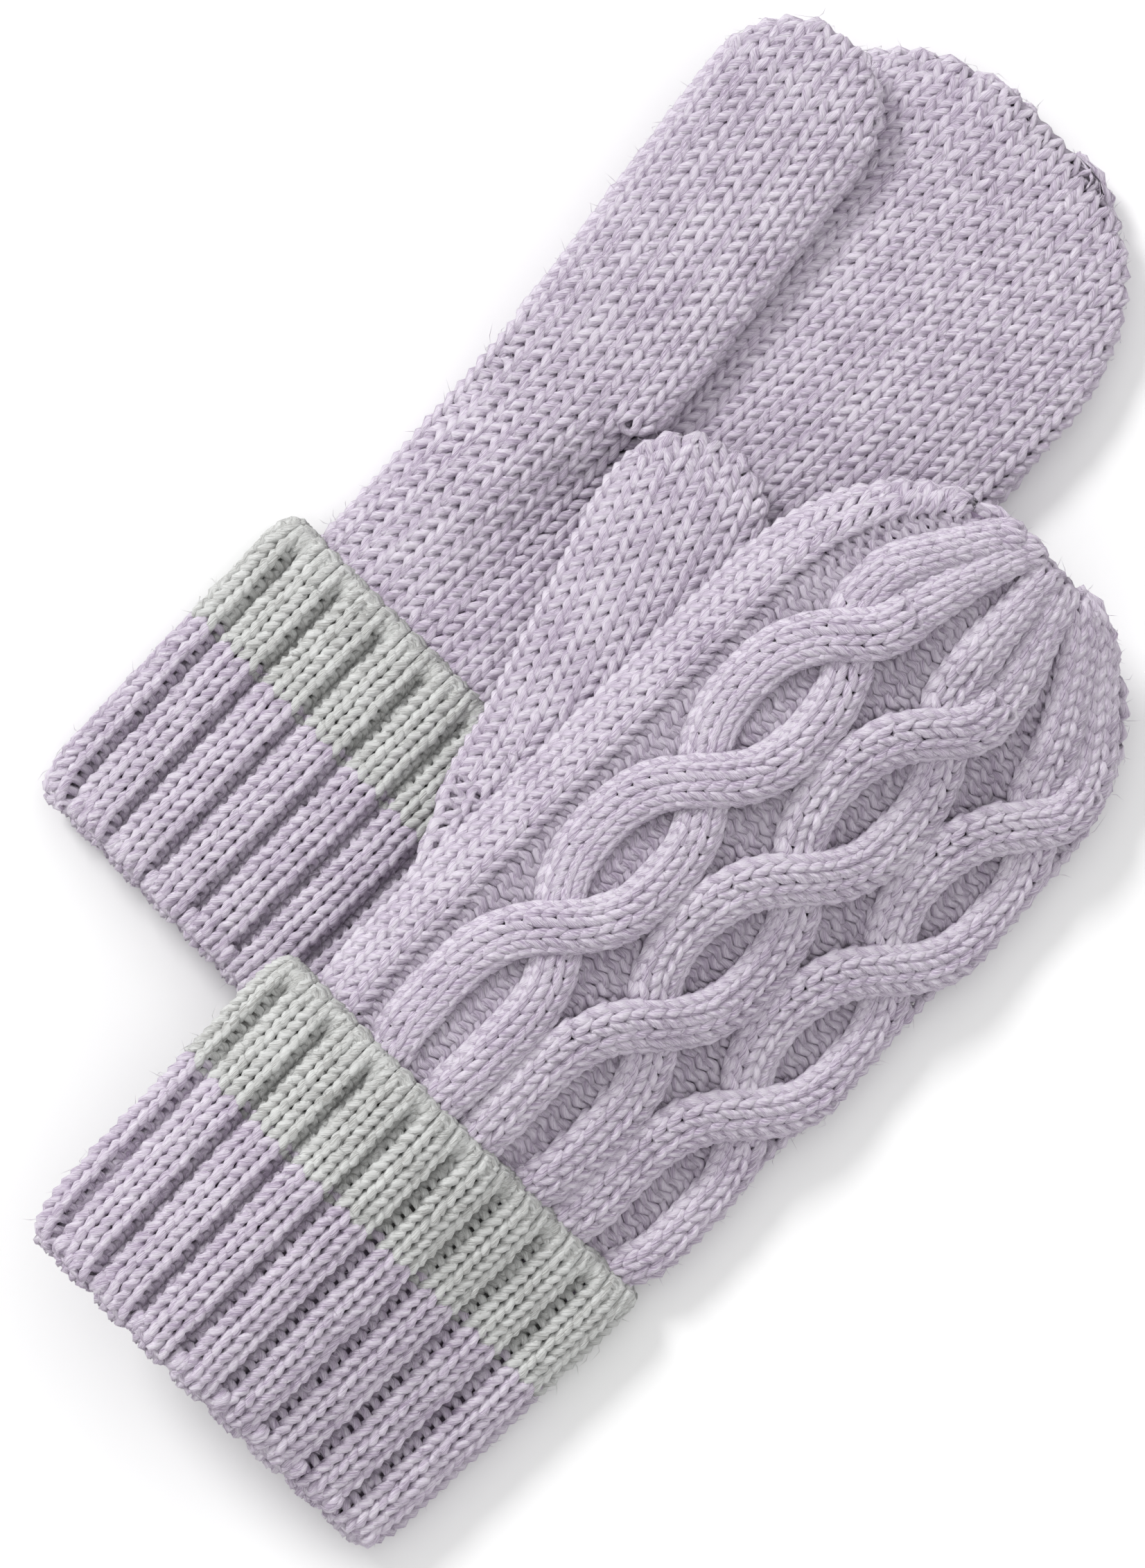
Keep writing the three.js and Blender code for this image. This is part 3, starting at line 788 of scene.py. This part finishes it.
def knitCuff(lay):
    name = lay["name"]
    body = name + "_cuff"
    course, start = ribKnit["course"], ribKnit["start"]
    bandTop = cuffShape["depth"] - cuffShape["stripe"]
    rows = [ribRow(lay, start + j * course, course) for j in range(int((bandTop - start) / course) + 1)]
    settle(yarnPiece(name + "_cuff_band_knit", rows, lilac, closed=True), body, [name + "_cuff_band"])
    settle(looseFibres(name + "_band_fibres", rows, fibreShape["onBand"], lilac), body, [])

    last = start + (len(rows) - 1) * course
    stripeEnd = cuffShape["depth"] - ribKnit["edgeRoom"]
    greyRows = int(round((stripeEnd - last) / ribKnit["stripeCourse"]))
    step = (stripeEnd - last) / greyRows
    rows = [ribRow(lay, last + (j + 1) * step, step) for j in range(greyRows)]
    piece = yarnPiece(name + "_cuff_stripe_knit", rows, grey, closed=True)
    settle(piece, body, [name + "_cuff_stripe"])
    fluff = looseFibres(name + "_stripe_fibres", rows, fibreShape["onStripe"], grey)
    settle(fluff, body, [])

    rows = [castOnRow(lay, *row) for row in castOn["rows"]]
    piece = yarnPiece(name + "_cuff_edge_knit", rows, grey, closed=True)
    settle(piece, body, [name + "_cuff_edge"])
    rows = [foldRow(lay, k) for k in range(foldKnit["rows"])]
    settle(yarnPiece(name + "_cuff_fold_knit", rows, lilac, closed=True), body, [name + "_cuff_fold"])
    rows = [liningRow(lay, liningKnit["start"] + j * liningKnit["course"]) for j in range(liningKnit["rows"])]
    piece = yarnPiece(name + "_cuff_lining_knit", rows, lilac, closed=True)
    settle(piece, name + "_hand", [name + "_cuff_lining"])


linerShape = dict(handLift=-3.3, cuffLift=-3.15, handStart=60, handStop=2, bandStart=2, edge=1,
                  lowest=0.2, merge=0.00005)


# the inside of each tube, behind the loops, as a sheet in painted shade
def liner(name, mapping, aroundCount, alongCount, material, body):
    mesh = bmesh.new()
    bmesh.ops.create_grid(mesh, x_segments=aroundCount, y_segments=alongCount, size=0.5)
    co = np.array([v.co[:] for v in mesh.verts])
    placed = mapping(co[:, 0] + 0.5, co[:, 1] + 0.5)
    placed[:, 2] = np.maximum(placed[:, 2], linerShape["lowest"])
    placed *= mm
    for vert, where in zip(mesh.verts, placed):
        vert.co = where
    bmesh.ops.remove_doubles(mesh, verts=mesh.verts, dist=linerShape["merge"])
    bmesh.ops.recalc_face_normals(mesh, faces=mesh.faces)
    data = bpy.data.meshes.new(name)
    mesh.to_mesh(data)
    mesh.free()
    data.materials.append(material)
    data.polygons.foreach_set("use_smooth", [True] * len(data.polygons))
    piece = bpy.data.objects.new(name, data)
    scene.collection.objects.link(piece)
    settle(piece, body, [])


def tubeMap(faces, yOf, lift):
    def mapping(u, v):
        y = yOf(v)
        out = np.zeros((len(u), 3))
        for rowY in np.unique(np.round(y, 4)):
            row = np.abs(y - rowY) < 1e-3
            halves = [halfArc(f, rowY) for f in faces]
            upper = row & (u < 0.5)
            lower = row & (u >= 0.5)
            out[upper] = onFace(faces[0], halves[0] * (1 - 4 * u[upper]), rowY, y[upper], lift)[:, :3]
            out[lower] = onFace(faces[1], halves[1] * (4 * (u[lower] - 0.5) - 1), rowY, y[lower], lift)[:, :3]
        return out
    return mapping


def lineMitten(lay):
    name = lay["name"]
    shape = linerShape
    hands = [handFace(lay, 1), handFace(lay, -1)]
    cuffs = [cuffFace(lay, 1, cuffShape["yarnInset"]), cuffFace(lay, -1, cuffShape["yarnInset"])]
    handEnd = handShape["length"] - shape["handStop"]
    stripeStart = cuffShape["depth"] - cuffShape["stripe"]
    stripeEnd = cuffShape["depth"] - shape["edge"]
    # rows close up towards the fingertips
    closeUp = lambda v: mix(shape["handStart"], handEnd, np.sin(v * math.pi / 2))
    handMap = tubeMap(hands, closeUp, shape["handLift"])
    bandMap = tubeMap(cuffs, lambda v: mix(shape["bandStart"], stripeStart, v), shape["cuffLift"])
    stripeMap = tubeMap(cuffs, lambda v: mix(stripeStart, stripeEnd, v), shape["cuffLift"])
    liner(name + "_hand_inside", handMap, 96, 60, lilacShade, name + "_hand")
    liner(name + "_band_inside", bandMap, 128, 12, lilacShade, name + "_cuff")
    liner(name + "_stripe_inside", stripeMap, 128, 8, greyShade, name + "_cuff")


for name, lay in lays.items():
    print("knitting the", name, "mitten")
    knitPalm(lay)
    knitBack(lay)
    knitCables(lay)
    knitThumb(lay)
    knitGusset(lay)
    knitCuff(lay)
    lineMitten(lay)
    fluff = looseFibres(name + "_hand_fibres", lay["handRows"], fibreShape["onHand"], lilac)
    settle(fluff, name + "_hand", [])

print("setting the table")
table = dict(size=4.0, drop=0.0002, colour=(0.93, 0.93, 0.93, 1), roughness=0.9)
floorMesh = bmesh.new()
bmesh.ops.create_grid(floorMesh, x_segments=1, y_segments=1, size=table["size"])
bmesh.ops.translate(floorMesh, verts=floorMesh.verts, vec=(0, 0, cadBounds[0][2] - table["drop"]))
floorData = bpy.data.meshes.new("table_top")
floorMesh.to_mesh(floorData)
floorMesh.free()
paper, paperNodes, paperLinks, paperShader = newMaterial("white_paper")
paperShader.inputs["Base Color"].default_value = table["colour"]
paperShader.inputs["Roughness"].default_value = table["roughness"]
floorData.materials.append(paper)
floor = bpy.data.objects.new("table_top", floorData)
scene.collection.objects.link(floor)

print("lights and camera")
lights = [
    dict(name="window", where=(-1.0, 0.12, 0.8), spread=16, power=1.75),
    dict(name="ceiling", where=(-0.2, 0.5, 1.4), spread=60, power=0.6),
]
for spec in lights:
    data = bpy.data.lights.new(spec["name"], "SUN")
    data.angle = math.radians(spec["spread"])
    data.energy = spec["power"]
    lamp = bpy.data.objects.new(spec["name"], data)
    lamp.location = spec["where"]
    lamp.rotation_euler = (-lamp.location).to_track_quat("-Z", "Y").to_euler()
    scene.collection.objects.link(lamp)
skyStrength = 0.66
world = bpy.data.worlds.new("studio")
world.use_nodes = True
world.node_tree.nodes["Background"].inputs["Color"].default_value = (1, 1, 1, 1)
world.node_tree.nodes["Background"].inputs["Strength"].default_value = skyStrength
scene.world = world

scene.view_settings.view_transform = "Standard"  # keeps the pale wool's own colours

view = dict(lens=200, sensor=36, frameHeight=339.9, centre=(-1.03, -12.65, 20), turn=45, farthest=20)
camera = bpy.data.cameras.new("camera")
camera.sensor_fit = "VERTICAL"
camera.sensor_height = view["sensor"]
camera.lens = view["lens"]
camera.clip_end = view["farthest"]
eye = bpy.data.objects.new("camera", camera)
distance = view["lens"] * view["frameHeight"] / view["sensor"]
eye.location = (view["centre"][0] * mm, view["centre"][1] * mm, (view["centre"][2] + distance) * mm)
eye.rotation_euler = (0, 0, math.radians(view["turn"]))
scene.collection.objects.link(eye)
scene.camera = eye
